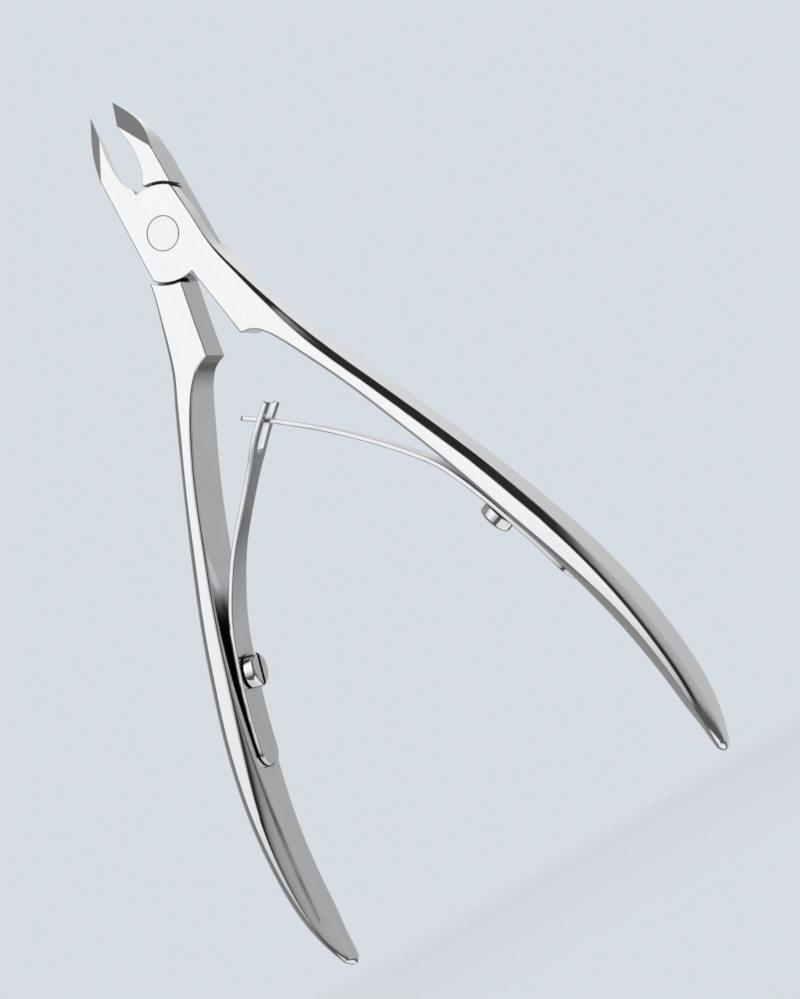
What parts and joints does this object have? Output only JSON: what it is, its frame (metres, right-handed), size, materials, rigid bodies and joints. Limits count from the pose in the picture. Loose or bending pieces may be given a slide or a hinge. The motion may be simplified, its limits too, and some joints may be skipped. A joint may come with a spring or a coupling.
{
  "type": "cuticle nipper",
  "caption": "Lap-jointed steel cuticle nipper with narrow pointed jaws, long bowed handles and two leaf springs hooked together between the handles.",
  "frame": {"origin": "on the rivet's axis, on the flat back face of the joint", "axes": "+Z from the rivet towards the jaws, -Y out of the front face, +X to the right seen from the front; the rivet lies along Y"},
  "size_m": [0.0583, 0.009, 0.1072],
  "materials": {
    "polished_steel": "mirror polished stainless steel",
    "rivet_steel": "ground flush, satin",
    "spring_steel": "polished spring steel",
    "screw_steel": "turned and polished"
  },
  "bodies": {
    "back_half": {"back_half": "polished_steel", "rivet": "rivet_steel", "forked_spring_screw": "screw_steel"},
    "front_half": {"front_half": "polished_steel", "tongue_spring_screw": "screw_steel"},
    "forked_spring": {"forked_spring": "spring_steel"},
    "tongue_spring": {"tongue_spring": "spring_steel"}
  },
  "joints": [
    {"name": "main_pivot", "type": "hinge", "parent": "back_half", "child": "front_half", "pos_m": [0, 0, 0], "axis": [0, 1, 0], "range_deg": [-2, 11.2], "stiffness_Nm_per_rad": 0.2},
    {"name": "forked_spring_flex", "type": "hinge", "parent": "back_half", "child": "forked_spring", "pos_m": [-0.018, 0, -0.0451], "axis": [0, 1, 0], "range_deg": [-7, 1.5], "deforming": ["forked_spring"]},
    {"name": "tongue_spring_flex", "type": "hinge", "parent": "front_half", "child": "tongue_spring", "pos_m": [0.0178, 0, -0.0451], "axis": [0, 1, 0], "range_deg": [-1.5, 7], "deforming": ["tongue_spring"]}
  ],
  "couplings": [
    {"joint": "forked_spring_flex", "follows": "main_pivot", "ratio": -0.6},
    {"joint": "tongue_spring_flex", "follows": "main_pivot", "ratio": 0.6}
  ]
}
